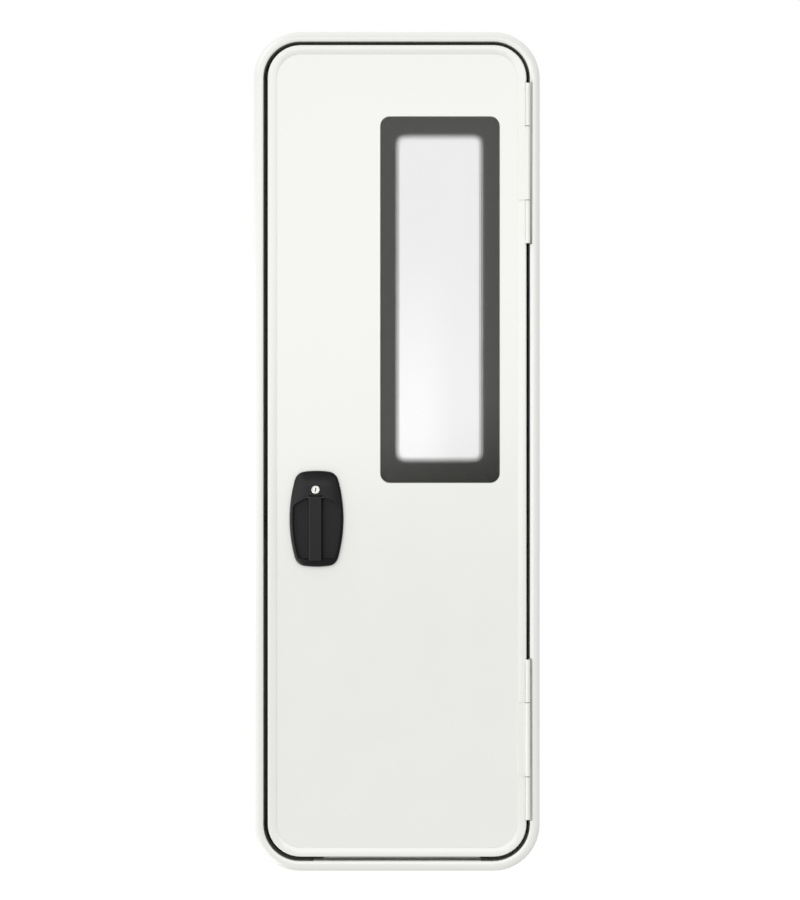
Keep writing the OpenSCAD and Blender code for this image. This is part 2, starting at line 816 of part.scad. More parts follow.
module pull_grip() {
    color(black) stood() difference() {
        intersection() {
            translate([grip_x, grip_top, 0]) rotate([90, 0, 0])
                linear_extrude(grip_top - grip_bottom) grip_section();
            union() {
                block(grip_x - grip_w, grip_x + grip_w, grip_bottom, pivot_y - 8, grip_back, grip_front);
                translate([grip_x - grip_w, 0, 0]) rotate([90, 0, 90]) linear_extrude(2 * grip_w) polygon([
                    [pivot_y - 8 - eps, grip_back], [pivot_y - 8 - eps, grip_front],
                    [pivot_y, grip_front], [pivot_y, pivot_z - grip_end_r]
                ]);
                rod_x(pivot_y, pivot_z, grip_end_r, grip_x - grip_w, grip_x + grip_w);
            }
        }
        rod_x(pivot_y, pivot_z, pivot_r + run_fit, grip_x - grip_w, grip_x + grip_w);
    }
}

module lock_barrel() {
    color([0.85, 0.85, 0.85]) stood() difference() {
        rod_z(lock_x, lock_y, lock_r, panel - 12, lock_front);
        rod_z(lock_x, lock_y, plug_r + run_fit, panel - 13, lock_front + 1);
    }
}

module lock_plug() {
    color([0.85, 0.85, 0.85]) stood() difference() {
        rod_z(lock_x, lock_y, plug_r, panel - 12, lock_front);
        block(lock_x - 0.7, lock_x + 0.7, lock_y - 4, lock_y + 4, lock_front - 8, lock_front + 1);
    }
}

module latch_case() {
    x1 = case_x + case_w;
    y0 = handle_z - case_h / 2;
    y1 = handle_z + case_h / 2;
    cavity_y1 = handle_z + claw_up + claw_r + 2;
    color(steel) stood() difference() {
        block(case_x, x1, y0, y1, inner_front, skin_back);
        block(case_x + case_t, latch_edge + slot_end + 1, handle_z - claw_r - 3, cavity_y1,
              inner_front + case_t, skin_back - case_t);
        striker_slot();
    }
}

module latch_faceplate() {
    color(dark_steel) stood() difference() {
        block(latch_edge - plate_t, latch_edge, handle_z - face_h / 2, handle_z + face_h / 2,
              inner_front, striker_front);
        striker_slot();
        plate_holes(face_h / 2 - 8, latch_edge - plate_t - 1, latch_edge + 1);
    }
}

// The claw waits open towards the inside, so that the leaf leaves the striker pin freely
module latch_claw() {
    color(steel) stood() difference() {
        union() {
            rod_x(handle_z, -striker_d, claw_r, claw_x, claw_x + claw_t);
            rod_x(handle_z + claw_up, -striker_d, claw_r, claw_x, claw_x + claw_t);
            block(claw_x, claw_x + claw_t, handle_z, handle_z + claw_up, -striker_d - claw_r,
                  -striker_d + claw_r);
        }
        rod_x(handle_z + claw_up, -striker_d, claw_pin_r, claw_x - 1, claw_x + claw_t + 1);
        rod_x(handle_z, -striker_d, jaw_half, claw_x - 1, claw_x + claw_t + 1);
        block(claw_x - 1, claw_x + claw_t + 1, handle_z - jaw_half, handle_z + jaw_half,
              leaf_back, -striker_d);
    }
}

module claw_pivot_pin() {
    color(steel) stood()
        rod_x(handle_z + claw_up, -striker_d, claw_pin_r, case_x + case_t, latch_edge + slot_end + 1);
}

// A rounded plate whose edges are rounded at its face z0, and at z1 too when both is true
module soft_plate(w, h, r, z0, z1, both) {
    e = inner_edge_r;
    slab(z0, z1) rounded(w - 2 * e, h - 2 * e, r - e);
    swept(w, h, r) {
        translate([-e - 1, z0]) square([1, z1 - z0]);
        translate([-e - eps, z0 + e]) square([e + eps, z1 - z0 - e - (both ? e : 0)]);
        translate([-e, z0 + e]) circle(e);
        if (both) translate([-e, z1 - e]) circle(e);
    }
}

module inner_handle_plate() {
    color([0.9, 0.9, 0.88]) stood() translate([inner_x, handle_z, 0])
        soft_plate(inner_w, inner_h, inner_r, inner_front_z, inner_face, false);
}

module inner_handle_lever() {
    w = lever_len + lever_w / 2;
    color([0.2, 0.2, 0.2]) stood() {
        rod_z(inner_x, lever_y, neck_r, lever_z + lever_t / 2, inner_front_z);
        translate([inner_x + lever_len - w / 2, lever_y, 0])
            soft_plate(w, lever_w, lever_w / 2 - 1, lever_z, lever_z + lever_t, true);
    }
}

outer_frame();
frame_reveal();
inner_clamp_frame();
door_seal();
sill_strip();
hinge_frame_wing(hinge_ys[1]);  // upper_hinge_frame_wing
hinge_pin(hinge_ys[1]);  // upper_hinge_pin
hinge_washers(hinge_ys[1]);  // upper_hinge_washers
hinge_frame_wing(hinge_ys[0]);  // lower_hinge_frame_wing
hinge_pin(hinge_ys[0]);  // lower_hinge_pin
hinge_washers(hinge_ys[0]);  // lower_hinge_washers
striker_plate();
striker_pin();
leaf_edge_profile();
outer_skin();
foam_core();
inner_skin();
window_outer_pane();
window_border_print();
window_spacer();
window_inner_pane();
window_inner_trim();
handle_plate();
grip_pivot_pin();
lock_barrel();
latch_case();
latch_faceplate();
latch_claw();
claw_pivot_pin();
inner_handle_plate();
inner_handle_lever();
hinge_door_wing(hinge_ys[1]);  // upper_hinge_door_wing
hinge_door_wing(hinge_ys[0]);  // lower_hinge_door_wing
pull_grip();
lock_plug();
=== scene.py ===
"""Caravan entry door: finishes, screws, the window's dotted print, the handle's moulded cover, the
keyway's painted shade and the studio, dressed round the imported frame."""

import json
import math

import bmesh
import bpy
from bpy.props import FloatProperty, FloatVectorProperty, IntProperty, PointerProperty
from bpy.types import Operator, Panel, PropertyGroup
from mathutils import Matrix, Vector

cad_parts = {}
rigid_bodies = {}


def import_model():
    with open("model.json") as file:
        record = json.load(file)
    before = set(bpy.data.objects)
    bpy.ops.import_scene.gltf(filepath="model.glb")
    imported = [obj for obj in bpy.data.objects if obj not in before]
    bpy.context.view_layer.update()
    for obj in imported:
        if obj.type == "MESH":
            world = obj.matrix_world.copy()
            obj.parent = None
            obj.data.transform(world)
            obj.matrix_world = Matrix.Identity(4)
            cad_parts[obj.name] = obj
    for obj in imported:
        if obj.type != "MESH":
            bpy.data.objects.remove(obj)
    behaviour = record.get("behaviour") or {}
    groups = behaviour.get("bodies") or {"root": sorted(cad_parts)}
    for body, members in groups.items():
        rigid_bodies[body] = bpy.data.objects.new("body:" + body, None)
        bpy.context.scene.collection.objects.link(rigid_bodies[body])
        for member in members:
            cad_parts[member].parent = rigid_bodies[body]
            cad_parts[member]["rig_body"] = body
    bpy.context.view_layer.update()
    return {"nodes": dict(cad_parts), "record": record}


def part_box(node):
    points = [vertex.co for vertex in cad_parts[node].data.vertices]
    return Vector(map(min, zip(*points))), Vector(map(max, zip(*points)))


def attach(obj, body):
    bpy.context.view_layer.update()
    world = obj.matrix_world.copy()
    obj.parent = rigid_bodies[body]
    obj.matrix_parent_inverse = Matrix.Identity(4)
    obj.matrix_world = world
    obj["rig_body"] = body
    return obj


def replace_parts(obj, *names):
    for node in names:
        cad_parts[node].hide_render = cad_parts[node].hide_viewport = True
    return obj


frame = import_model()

bl_info = {
    "name": "Caravan entry door",
    "version": (1, 0, 0),
    "blender": (4, 5, 0),
    "location": "View3D > Sidebar > Entry door",
    "description": "Dresses a caravan entry door in its finishes and small parts, and lights it",
    "category": "Object",
}

MM = 0.001


def gamma(hex_colour):
    """An sRGB hex colour as red, green and blue from 0 to 1, as a colour property holds it."""
    return [int(hex_colour[i : i + 2], 16) / 255 for i in (1, 3, 5)]


def linear(colour):
    """An sRGB colour, in hex or from a property, as linear red, green, blue and alpha."""
    parts = gamma(colour) if isinstance(colour, str) else colour
    return [c / 12.92 if c <= 0.04045 else ((c + 0.055) / 1.055) ** 2.4 for c in parts] + [1.0]


def darker(colour, share):
    """A linear colour, darkened by a share."""
    return [c * (1 - share) for c in colour[:3]] + [1.0]


def middle(node):
    """The middle of a CAD part's box."""
    low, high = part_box(node)
    return (low + high) / 2


class DoorFinish(PropertyGroup):
    white: FloatVectorProperty(
        name="White", description="Powder coat and gelcoat white", subtype="COLOR_GAMMA", size=3,
        default=gamma("#F5F6F1"), min=0, max=1,
    )
    black: FloatVectorProperty(
        name="Black", description="Moulded black of the handle", subtype="COLOR_GAMMA", size=3,
        default=gamma("#1A1A1A"), min=0, max=1,
    )
    peel: FloatProperty(
        name="Orange peel", description="Width of one ripple of the sprayed coat", default=1.6 * MM,
        min=0.5 * MM, max=5 * MM, unit="LENGTH",
    )
    grain: FloatProperty(
        name="Moulded grain", description="Width of one grain of the black moulding", default=0.7 * MM,
        min=0.2 * MM, max=3 * MM, unit="LENGTH",
    )


class WindowPrint(PropertyGroup):
    pitch: FloatProperty(
        name="Dot pitch", description="Spacing of the printed dots", default=4.4 * MM, min=1 * MM,
        max=8 * MM, unit="LENGTH",
    )
    band: FloatProperty(
        name="Dotted band", description="Width over which the dots fade out", default=15.5 * MM,
        min=4 * MM, max=40 * MM, unit="LENGTH",
    )


class HandleCover(PropertyGroup):
    rim: FloatProperty(
        name="Rim", description="Width of the rim beside the recess", default=7 * MM, min=5 * MM,
        max=12 * MM, unit="LENGTH",
    )
    lip: FloatProperty(
        name="Lip", description="Rounding of the recess's mouth", default=0.5 * MM, min=0.3 * MM,
        max=3 * MM, unit="LENGTH",
    )
    fillet: FloatProperty(
        name="Floor fillet", description="Rounding between the recess's wall and floor", default=0.6 * MM,
        min=0.4 * MM, max=4 * MM, unit="LENGTH",
    )
    segments: IntProperty(
        name="Segments", description="Points round the cover", default=160, min=48, max=320,
    )


class DoorFixings(PropertyGroup):
    head: FloatProperty(
        name="Screw head", description="Diameter of the screw heads", default=7.4 * MM, min=4 * MM,
        max=8 * MM, unit="LENGTH",
    )
    facets: IntProperty(
        name="Screw facets", description="Sides of a screw head", default=24, min=12, max=48,
    )
    frame_spacing: FloatProperty(
        name="Clamp screws", description="Spacing of the screws round the inner clamp frame",
        default=190 * MM, min=80 * MM, max=400 * MM, unit="LENGTH",
    )


class DoorStudio(PropertyGroup):
    distance: FloatProperty(
        name="Camera distance", description="From the camera to the door", default=4.5, min=2, max=12,
        unit="LENGTH",
    )
    key: FloatProperty(
        name="Key light", description="Power of the soft light at the upper left", default=0.5, min=0,
        max=20,
    )
    room: FloatProperty(
        name="Room light", description="Strength of the light from all round", default=0.815, min=0, max=5,
    )
    mirrored: FloatProperty(
        name="Mirrored light", description="Strength of what the glossy faces reflect", default=2.0,
        min=0, max=5,
    )


GROUPS = {
    "door_finish": DoorFinish,
    "window_print": WindowPrint,
    "handle_cover": HandleCover,
    "door_fixings": DoorFixings,
    "door_studio": DoorStudio,
}


def add_node(tree, kind, inputs=None, **settings):
    """Adds a node with its settings, and sets or links its inputs."""
    node = tree.nodes.new(kind)
    for name, value in settings.items():
        setattr(node, name, value)
    for name, value in (inputs or {}).items():
        if isinstance(value, bpy.types.NodeSocket):
            tree.links.new(value, node.inputs[name])
        else:
            node.inputs[name].default_value = value
    return node


def begin_material(name):
    """An empty material, its node tree and the object's own coordinates."""
    material = bpy.data.materials.new(name)
    material.use_nodes = True
    tree = material.node_tree
    tree.nodes.clear()
    place = add_node(tree, "ShaderNodeTexCoord").outputs["Object"]
    return material, tree, place


def coated(name, pattern, pattern_settings, colours, roughness, relief, gloss=None):
    """A finish whose tone, roughness and relief all follow one pattern on the object's own coordinates.

    pattern_settings are the texture's inputs; colours are the two linear colours it runs between;
    roughness is its (low, high); relief is (strength, depth in metres); gloss sets the shader's sockets."""
    material, tree, place = begin_material(name)
    stretch = pattern_settings.pop("Stretch", None)
    if stretch:
        place = add_node(tree, "ShaderNodeMapping", {"Vector": place, "Scale": stretch}).outputs["Vector"]
    texture = add_node(tree, pattern, {"Vector": place, **pattern_settings}).outputs[0]
    spread = add_node(tree, "ShaderNodeMapRange", {"Value": texture, "From Min": 0.3, "From Max": 0.7})
    share = spread.outputs["Result"]
    tone = add_node(tree, "ShaderNodeMix", {0: share, 6: colours[0], 7: colours[1]}, data_type="RGBA")
    dull = add_node(tree, "ShaderNodeMapRange", {
        "Value": share, "To Min": roughness[0], "To Max": roughness[1]})
    bump = add_node(tree, "ShaderNodeBump", {
        "Height": texture, "Strength": relief[0], "Distance": relief[1]})
    surface = add_node(tree, "ShaderNodeBsdfPrincipled", {
        "Base Color": tone.outputs[2], "Roughness": dull.outputs["Result"],
        "Normal": bump.outputs["Normal"], **(gloss or {})})
    add_node(tree, "ShaderNodeOutputMaterial", {"Surface": surface.outputs["BSDF"]})
    return material


def sprayed_powder_coat():
    """Polyester powder sprayed on aluminium and stoved: glossy white, with a fine orange peel that
    softens the edge of what it reflects. The peel is drawn as wide as it needs to show."""
    finish = bpy.context.scene.door_finish
    white = linear(finish.white)
    return coated(
        "Powder-coated aluminium, sprayed and stoved white", "ShaderNodeTexNoise",
        {"Scale": 1 / finish.peel, "Detail": 1.5, "Roughness": 0.4},
        [darker(white, 0.012), white], (0.15, 0.19), (0.2, 0.05 * MM), {"Specular IOR Level": 0.8})


def gelcoated_grp():
    """Glass-reinforced polyester sheet with a gelcoat face: the long soft waviness of a thin bonded sheet,
    which bends its broad reflections a little."""
    white = linear(bpy.context.scene.door_finish.white)
    return coated(
        "Glass-reinforced polyester sheet, white gelcoat", "ShaderNodeTexNoise",
        {"Scale": 1 / (110 * MM), "Detail": 1.0},
        [darker(white, 0.008), white], (0.12, 0.15), (0.2, 0.5 * MM), {"Specular IOR Level": 0.8})


def extruded_rubber():
    """EPDM rubber, extruded: grey-black in itself, but painted a lighter mid grey that stands in for the
    light reaching the seal in the door's narrow gap; with a soft shine and a dusty bloom 4 mm across.
    """
    return coated(
        "EPDM rubber, extruded, weathered grey-black", "ShaderNodeTexNoise",
        {"Scale": 1 / (4 * MM), "Detail": 3.0},
        # painted light: a mid grey, lighter than the grey-black rubber, standing in for the light that
        # reaches the seal deep in the door's narrow gap
        [linear("#5A5B56"), linear("#656660")], (0.4, 0.5), (0.2, 0.05 * MM))


def mill_aluminium():
    """Aluminium as it leaves the extrusion press: grey, with die lines every half millimetre along its
    length and a dull oxide that takes the mirror out of it."""
    return coated(
        "Aluminium strip, mill finish", "ShaderNodeTexNoise",
        {"Stretch": (1 / (250 * MM), 1 / (0.5 * MM), 1 / (0.5 * MM)), "Scale": 1.0, "Detail": 2.0},
        [linear("#BBBCB7"), linear("#D5D6D1")], (0.42, 0.55), (0.2, 0.03 * MM), {"Metallic": 1.0})


def zinc_plated_steel():
    """Mild steel, pressed and bright zinc plated: a pale blue-grey metal, mottled in patches of 5 mm."""
    return coated(
        "Mild steel, pressed and zinc plated", "ShaderNodeTexNoise", {"Scale": 1 / (5 * MM), "Detail": 4.0},
        [linear("#B4B7BA"), linear("#CDD0D2")], (0.24, 0.38), (0.1, 0.03 * MM), {"Metallic": 1.0})


def blackened_steel():
    """Mild steel, pressed, zinc plated and passivated black: charcoal, with a faint olive mottle."""
    return coated(
        "Mild steel, zinc plated and passivated black", "ShaderNodeTexNoise",
        {"Scale": 1 / (4.5 * MM), "Detail": 4.0},
        [linear("#262622"), linear("#35352F")], (0.36, 0.5), (0.1, 0.03 * MM), {"Metallic": 0.6})


def satin_nickel():
    """Zinc alloy, die cast and nickel plated, then lightly brushed: bright and soft edged."""
    return coated(
        "Zinc alloy, nickel plated and brushed", "ShaderNodeTexNoise",
        {"Scale": 1 / (0.4 * MM), "Detail": 1.0},
        [linear("#F1F0EB"), linear("#FBFAF5")], (0.22, 0.32), (0.1, 0.01 * MM), {"Metallic": 1.0})


def moulded_black():
    """Glass-filled polyamide, injection moulded against a spark-eroded tool: near black, with a fine even
    grain that spreads the highlight."""
    finish = bpy.context.scene.door_finish
    black = linear(finish.black)
    return coated(
        "Glass-filled polyamide, moulded black", "ShaderNodeTexNoise",
        {"Scale": 1 / finish.grain, "Detail": 2.0, "Roughness": 0.6},
        [darker(black, 0.15), black], (0.28, 0.36), (0.3, 0.05 * MM), {"Specular IOR Level": 0.32})


def moulded_grey():
    """ABS, injection moulded in light grey: satin, with a fine grain a millimetre across."""
    return coated(
        "ABS, moulded light grey", "ShaderNodeTexNoise", {"Scale": 1 / (0.9 * MM), "Detail": 2.0},
        [linear("#D3D4D0"), linear("#DCDDD9")], (0.42, 0.52), (0.25, 0.05 * MM))


def screen_print():
    """Ceramic-filled ink, screen printed on the back of the pane: flat and black, with slow faint
    changes in the film of ink."""
    return coated(
        "Screen-printed ink, black", "ShaderNodeTexNoise", {"Scale": 1 / (6 * MM), "Detail": 1.0},
        [linear("#1B1C10"), linear("#1D1E12")], (0.6, 0.64), (0.02, 0.005 * MM),
        {"Specular IOR Level": 0.1})


def expanded_foam():
    """Extruded polystyrene foam, hot-wire cut: cream, with closed cells about a millimetre across."""
    return coated(
        "Extruded polystyrene foam, cut", "ShaderNodeTexVoronoi", {"Scale": 1 / (1.1 * MM)},
        [linear("#F1E9CF"), linear("#E0D6B6")], (0.85, 0.95), (0.5, 0.3 * MM))


def cast_acrylic():
    """Cast acrylic sheet, polished: clear and glossy on the side that is looked at, with painted light in
    what it lets through:
    a faint grey at the top that brightens towards its lower left, standing in for the uneven light of the
    room behind the pane."""
    material, tree, place = begin_material("Acrylic sheet, cast and polished")
    low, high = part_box("window_outer_pane")
    split = add_node(tree, "ShaderNodeSeparateXYZ", {"Vector": place})
    # painted light: what the pane lets through is dimmed towards its top and right and brightest at its
    # lower left, standing in for the room's uneven light
    across = add_node(tree, "ShaderNodeMapRange", {
        "Value": split.outputs["X"], "From Min": low.x + 80 * MM, "From Max": low.x + 175 * MM,
        "To Min": 1.0, "To Max": 0.35}, interpolation_type="SMOOTHSTEP")
    up = add_node(tree, "ShaderNodeMapRange", {
        "Value": split.outputs["Z"], "From Min": low.z + 90 * MM, "From Max": high.z - 190 * MM,
        "To Min": 1.0, "To Max": 0.0}, interpolation_type="SMOOTHSTEP")
    clear = add_node(tree, "ShaderNodeMath", {0: across.outputs["Result"], 1: up.outputs["Result"]},
                     operation="MULTIPLY")
    painted_room_light = add_node(tree, "ShaderNodeMix", {
        0: clear.outputs[0], 6: linear("#F8F8F8"), 7: linear("#FCFCFC")}, data_type="RGBA")
    through = add_node(tree, "ShaderNodeBsdfTransparent", {"Color": painted_room_light.outputs[2]})
    shine = add_node(tree, "ShaderNodeBsdfGlossy", {"Color": (1, 1, 1, 1), "Roughness": 0.04})
    fresnel = add_node(tree, "ShaderNodeFresnel", {"IOR": 1.49})
    back = add_node(tree, "ShaderNodeNewGeometry").outputs["Backfacing"]
    front = add_node(tree, "ShaderNodeMath", {0: 1.0, 1: back}, operation="SUBTRACT")
    share = add_node(tree, "ShaderNodeMath", {0: fresnel.outputs[0], 1: front.outputs[0]},
                     operation="MULTIPLY")
    surface = add_node(tree, "ShaderNodeMixShader", {
        0: share.outputs[0], 1: through.outputs[0], 2: shine.outputs[0]})
    add_node(tree, "ShaderNodeOutputMaterial", {"Surface": surface.outputs[0]})
    return material


FINISHES = {
    "white_powder_coat": sprayed_powder_coat,
    "black_rubber": extruded_rubber,
    "mill_aluminium": mill_aluminium,
    "white_grp": gelcoated_grp,
    "foam": expanded_foam,
    "steel": zinc_plated_steel,
    "black_steel": blackened_steel,
    "clear_acrylic": cast_acrylic,
    "dark_print": screen_print,
    "black_plastic": moulded_black,
    "nickel": satin_nickel,
    "grey_plastic": moulded_grey,
}
MADE = {}

# CAD parts shown as a copy with smooth shading, and the width that their hard edges are broken by
ROUNDED = {
    "outer_frame": 0, "frame_reveal": 0, "inner_clamp_frame": 0, "door_seal": 0, "leaf_edge_profile": 0,
    "window_inner_trim": 0, "inner_handle_plate": 0, "inner_handle_lever": 0,
    "upper_hinge_frame_wing": 0.35 * MM, "lower_hinge_frame_wing": 0.35 * MM,
    "upper_hinge_door_wing": 0.35 * MM, "lower_hinge_door_wing": 0.35 * MM,
    "upper_hinge_pin": 0.4 * MM, "lower_hinge_pin": 0.4 * MM,
    "striker_plate": 0.25 * MM, "striker_pin": 0.2 * MM, "latch_faceplate": 0.25 * MM,
    "latch_claw": 0.4 * MM, "latch_case": 0.3 * MM, "sill_strip": 0.2 * MM, "pull_grip": 0.8 * MM,
    "lock_barrel": 0.5 * MM, "lock_plug": 0.2 * MM,
}


def finish_of(slot):
    """The finish of a material slot, made once."""
    if slot not in MADE:
        MADE[slot] = FINISHES[slot]()
    return MADE[slot]


def place_piece(bm, name, body, slot, angle=32):
    """Turns a bmesh into a piece that rides on a body, takes its finish from a slot and is shaded smooth
    up to that angle in degrees."""
    mesh = bpy.data.meshes.new(name)
    bm.to_mesh(mesh)
    bm.free()
    piece = bpy.data.objects.new(name, mesh)
    bpy.context.scene.collection.objects.link(piece)
    mesh.materials.append(finish_of(slot))
    mesh.shade_smooth()
    mesh.set_sharp_from_angle(angle=math.radians(angle))
    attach(piece, body)
    return piece


def smoothed_copy(node, slot, edge):
    """A merged copy of a CAD part with smooth shading and, where edge is a width, broken hard edges."""
    source = frame["nodes"][node]
    bm = bmesh.new()
    bm.from_mesh(source.data)
    bmesh.ops.remove_doubles(bm, verts=bm.verts, dist=0.002 * MM)
    bmesh.ops.dissolve_degenerate(bm, edges=bm.edges, dist=0.002 * MM)
    if edge:
        bmesh.ops.dissolve_limit(bm, angle_limit=math.radians(0.5), verts=bm.verts, edges=bm.edges)
    piece = place_piece(bm, node + "_finish", source["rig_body"], slot, angle=30)
    if edge:
        bevel = piece.modifiers.new("broken edges", "BEVEL")
        bevel.width = edge
        bevel.segments = 2
        bevel.limit_method = "ANGLE"
        bevel.angle_limit = math.radians(30)
    weigh = piece.modifiers.new("even shading", "WEIGHTED_NORMAL")
    weigh.keep_sharp = True
    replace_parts(piece, node)
    return piece


def cut_from(bm, cutters):
    """Cuts other bmeshes out of one, and gives the result as a new bmesh."""
    made = []
    for source in [bm, *cutters]:
        mesh = bpy.data.meshes.new("cutting")
        source.to_mesh(mesh)
        source.free()
        made.append(bpy.data.objects.new("cutting", mesh))
        bpy.context.scene.collection.objects.link(made[-1])
    for tool in made[1:]:
        modifier = made[0].modifiers.new("cut", "BOOLEAN")
        modifier.object = tool
        modifier.operation = "DIFFERENCE"
        modifier.solver = "EXACT"
    graph = bpy.context.evaluated_depsgraph_get()
    result = bmesh.new()
    result.from_object(made[0], graph)
    for thing in made:
        mesh = thing.data
        bpy.data.objects.remove(thing)
        bpy.data.meshes.remove(mesh)
    return result


def add_box(bm, low, high):
    """Adds a box between two corners."""
    made = bmesh.ops.create_cube(bm, size=1)["verts"]
    bmesh.ops.scale(bm, verts=made, vec=[b - a for a, b in zip(low, high)])
    bmesh.ops.translate(bm, verts=made, vec=[(a + b) / 2 for a, b in zip(low, high)])


def add_disc(bm, centre, radius, depth, segments):
    """Adds a disc that faces along Y about its centre."""
    made = bmesh.ops.create_cone(
        bm, cap_ends=True, segments=segments, radius1=radius, radius2=radius, depth=depth)["verts"]
    turn = Matrix.Rotation(math.pi / 2, 3, "X")
    bmesh.ops.rotate(bm, verts=made, cent=(0, 0, 0), matrix=turn)
    bmesh.ops.translate(bm, verts=made, vec=centre)


def stamp(shape, places):
    """One bmesh with a copy of a small bmesh at each place, given as a matrix."""
    template = bpy.data.meshes.new("template")
    shape.to_mesh(template)
    bm = bmesh.new()
    for place in places:
        first = len(bm.verts)
        bm.from_mesh(template)
        bm.verts.ensure_lookup_table()
        bmesh.ops.transform(bm, matrix=place, verts=bm.verts[first:])
    bpy.data.meshes.remove(template)
    return bm


class DressNodes(Operator):
    """Gives every CAD part its finish"""

    bl_idname = "entry_door.dress_nodes"
    bl_label = "Finish the parts"

    def execute(self, context):
        for row in frame["record"]["subparts"]:
            part = frame["nodes"][row["node"]]
            part.data.materials.clear()
            part.data.materials.append(finish_of(row["material_slot"]))
            if row["node"] in ROUNDED:
                smoothed_copy(row["node"], row["material_slot"], ROUNDED[row["node"]])
        return {"FINISHED"}


class DotWindow(Operator):
    """Prints the window's fading dots on the back of the outer pane"""

    bl_idname = "entry_door.dot_window"
    bl_label = "Dotted print"
    smallest = 0.3 * MM

    def execute(self, context):
        sizes = context.scene.window_print
        low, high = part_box("window_border_print")
        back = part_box("window_outer_pane")[1].y
        # the print's opening, and the dotted field within it, which sits a little to the left and low
        clear_left, clear_right = low.x + 30 * MM, high.x - 30 * MM
        clear_bottom, clear_top = low.z + 39.5 * MM, high.z - 31.5 * MM
        left, right = clear_left - 3 * MM, clear_right
        bottom, top = clear_bottom, clear_top - 1.5 * MM
        ink = 0.1 * MM
        pitch, band = sizes.pitch, sizes.band
        corner = band + 11 * MM
        column = pitch * 0.9
        centre_x, centre_z = (left + right) / 2, (bottom + top) / 2
        half_x, half_z = (right - left) / 2, (top - bottom) / 2
        columns, rows = int(half_x / column) + 1, int(half_z / pitch) + 2
        places = []
        for i in range(-columns, columns + 1):
            for j in range(-rows, rows + 1):
                x, z = i * column, (j + 0.5 * (i % 2)) * pitch
                past_x, past_z = abs(x) - (half_x - corner), abs(z) - (half_z - corner)
                outside = math.hypot(max(past_x, 0), max(past_z, 0)) + min(max(past_x, past_z), 0) - corner
                spare = min(centre_x + x - clear_left, clear_right - centre_x - x,
                            centre_z + z - clear_bottom, clear_top - centre_z - z)
                if outside < -band or outside > 8 * MM or spare < -pitch / 2:
                    continue
                ink_share = max(1 + min(outside, 0) / band, 0) ** 0.85
                size = pitch * 0.57 * math.sqrt(ink_share)
                if size >= self.smallest:
                    places.append(Matrix.Translation((centre_x + x, back + ink, centre_z + z))
                                  @ Matrix.Diagonal((size, ink, size, 1)))
        dot = bmesh.new()
        add_disc(dot, (0, 0, 0), 1, 1, 16)
        place_piece(stamp(dot, places), "window_print_dots", "leaf", "dark_print")
        dot.free()

        # the solid print's front lies on the pane's back, so a copy set just behind it is shown
        film = bmesh.new()
        film.from_mesh(frame["nodes"]["window_border_print"].data)
        bmesh.ops.remove_doubles(film, verts=film.verts, dist=0.002 * MM)
        for vertex in film.verts:
            if vertex.co.y < back + 0.02 * MM:
                vertex.co.y = back + 0.03 * MM
        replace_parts(place_piece(film, "window_print_film", "leaf", "dark_print"), "window_border_print")
        return {"FINISHED"}


class Corner:
    """The rounded corner where the edges of two discs cross, each disc given as (x, z, radius)."""

    def __init__(self, side, end, rounding, up):
        self.side, self.end, self.rounding = side, end, rounding
        (ax, az, ar), (bx, bz, br) = [(x, z, r - rounding) for x, z, r in (side, end)]
        gap = math.hypot(bx - ax, bz - az)
        along = (ar**2 - br**2 + gap**2) / (2 * gap)
        across = math.sqrt(ar**2 - along**2)
        meets = [
            (ax + (along * (bx - ax) + s * across * (bz - az)) / gap,
             az + (along * (bz - az) - s * across * (bx - ax)) / gap)
            for s in (-1, 1)
        ]
        self.x, self.z = max((m for m in meets if m[0] > 0), key=lambda m: up * m[1])
        self.up = up

    def inset(self, x, z):
        """How far a point with a positive x lies inside the rounded outline."""
        depths = []
        for cx, cz, radius in (self.side, self.end):
            depths.append(radius - self.rounding - math.hypot(x - cx, z - cz))
        if min(depths) > 0:
            return self.rounding + min(depths)
        cx, cz, radius = self.side
        reach = (radius - self.rounding) / max(math.hypot(x - cx, z - cz), 1e-9)
        if self.up * (cz + (z - cz) * reach) <= self.up * self.z:
            return self.rounding + depths[0]
        cx, cz, radius = self.end
        reach = (radius - self.rounding) / max(math.hypot(x - cx, z - cz), 1e-9)
        if cx + (x - cx) * reach <= self.x:
            return self.rounding + depths[1]
        return self.rounding - math.hypot(x - self.x, z - self.z)


def inset_of(outline, x, z):
    """How far a point lies inside an outline of an upper and a lower corner, alike on both sides."""
    upper, lower = outline
    return (upper if z > 0 else lower).inset(abs(x), z)


def reach(outline, angle, wanted):
    """The distance along an angle at which the outline, inset by wanted, is met."""
    near, far = 0.0, 0.2
    for _ in range(30):
        half = (near + far) / 2
        if inset_of(outline, half * math.cos(angle), half * math.sin(angle)) > wanted:
            near = half
        else:
            far = half
    return near


